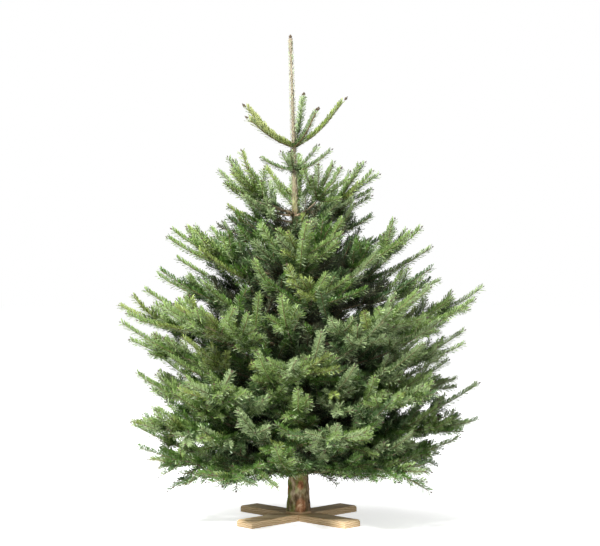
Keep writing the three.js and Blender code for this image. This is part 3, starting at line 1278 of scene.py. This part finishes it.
def makeTrunk():
    sides, count, relief = trunkLook["sides"], trunkLook["rings"], trunkLook["relief"]
    low, high = standTop + trunkLook["offBoards"], firTop - trunkLook["belowTip"]
    levels = np.array(whorlLevels())
    rings = []
    columns = {"young": [], "moss": [], "scar": [], "wood": []}
    for j in range(count + 1):
        z = low + (high - low) * (j / count) ** trunkLook["crowding"]
        radius = trunkRadius(z) + trunkLook["flare"] * math.exp((low - z) / trunkLook["flareSpan"])
        swell = trunkLook["collar"] * float(np.exp(-(((levels - z) / trunkLook["collarSpan"]) ** 2)).max())
        youth = clamp((z - trunkLook["youngFrom"]) / (trunkLook["youngTo"] - trunkLook["youngFrom"]))
        ring = []
        for k in range(sides):
            heading = 360 * k / sides
            way = wayAt(heading)
            spot = Vector((way.x * 3, way.y * 3, z * 22)) * trunkLook["coarseness"]
            rough = noise.fractal(spot, 0.9, 2.1, 5)
            scar = scarAt(z, heading)
            depth = relief * rough * min(1, radius / 0.03) + swell * min(1, radius / 0.02)
            ring.append(trunkCentre(z) + way * (radius + depth + trunkLook["scarHeight"] * scar))
            columns["young"].append(youth)
            green = noise.noise(Vector((way.x * 1.3, way.y * 1.3, z * 6))) + 0.35 - 0.5 * way.x
            columns["moss"].append(clamp(0.6 + green * (1.4 - z * 0.6)))
            columns["scar"].append(scar)
            rim = z - low < trunkLook["rim"]
            columns["wood"].append(1.0 if resinAt(z, heading) else 0.7 if rim else 0.0)
        rings.append(ring)
    print("trunk", len(rings) * sides, "points of bark")
    return barkPiece("trunkBark", [rings], columns)


trunkBark = makeTrunk()


limbLook = {
    "sides": 7,
    "perStretch": 2,
    "root": 0.0038,
    "perYear": 0.0019,
    "end": 0.0024,
    "node": 1.16,  # wider by this where a year ended
    "relief": 0.16,
    "mossyBelow": 0.45,
    "youngAtEnd": 0.8,
}


# A limb's rings, wider where each year ended and rough all over.
def limbRings(limb):
    line = limb["points"]
    steps = (len(line) - 1) * limbLook["perStretch"]
    widest = limbLook["root"] + limbLook["perYear"] * limb["years"]
    rings = []
    for j in range(steps + 1):
        share = j / steps
        at = share * (len(line) - 1)
        k = min(int(at), len(line) - 2)
        here = line[k].lerp(line[k + 1], at - k)
        along = (line[k + 1] - line[k]).normalized()
        radius = widest + (limbLook["end"] - widest) * share**0.8
        node = limbLook["node"] if j % (4 * limbLook["perStretch"]) == 0 else 1.0
        side = along.cross(Vector((0, 0, 1))).normalized()
        over = side.cross(along)
        ring = []
        for i in range(limbLook["sides"]):
            a = 2 * math.pi * i / limbLook["sides"]
            way = side * math.cos(a) + over * math.sin(a)
            rough = 1 + limbLook["relief"] * noise.noise((here + way * 0.01) * 90)
            ring.append(here + way * (radius * node * rough))
        rings.append(ring)
    return rings


def makeLimbs():
    runs = [limbRings(limb) for limb in limbs]
    columns = {"moss": [], "young": []}
    for rings in runs:
        for j, ring in enumerate(rings):
            columns["moss"] += [clamp(2 - 2 * ring[0].z / limbLook["mossyBelow"])] * len(ring)
            columns["young"] += [limbLook["youngAtEnd"] * j / len(rings)] * len(ring)
    print("limbs", len(limbs))
    return barkPiece("boughBark", runs, columns)


boughBark = makeLimbs()


boardEdge = {"width": 0.0015, "segments": 2}


def makeBoard(name, node, turn):
    board = bmesh.new()
    board.from_mesh(nodes[node].data)
    bmesh.ops.remove_doubles(board, verts=board.verts, dist=1e-5)
    bmesh.ops.dissolve_limit(board, angle_limit=0.02, verts=board.verts, edges=board.edges)
    mesh = bpy.data.meshes.new(name)
    board.to_mesh(mesh)
    board.free()
    mesh.materials.clear()
    mesh.materials.append(boardMaterial(f"{name}Grain", turn))
    piece = linkPiece(name, mesh)
    bevel = piece.modifiers.new("worn edges", "BEVEL")
    bevel.width = boardEdge["width"]
    bevel.segments = boardEdge["segments"]
    return piece


lowerBoard = makeBoard("lowerBoard", "stand_lower_board", math.radians(-45))
upperBoard = makeBoard("upperBoard", "stand_upper_board", math.radians(45))
print("stand made")


# The finish in the record that each colour of needles comes closest to.
needleSlots = {
    "fresh_needles": ("straw", "lime", "gold"),
    "needles": ("fresh", "silver", "green", "olive"),
    "low_needles": ("blue", "deep", "dusk"),
}


def handOver():
    foliageNodes = [n for n in sorted(nodes) if "_foliage" in n or n.startswith("top_shoot")]
    boughNodes = [n for n in sorted(nodes) if "_bough" in n]
    for colour, piece in needlePieces:
        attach(piece, "root")
        next(slot for slot, colours in needleSlots.items() if colour in colours)
        if colour != "straw":  # that one is only the leader's
            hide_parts(*foliageNodes)
    for piece in (twigs, buds, boughBark):
        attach(piece, "root")
    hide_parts(*boughNodes)
    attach(trunkBark, "root")
    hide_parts("trunk")
    for board, node in ((lowerBoard, "stand_lower_board"), (upperBoard, "stand_upper_board")):
        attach(board, "root")
        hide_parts(node)


handOver()
print("pieces handed over")
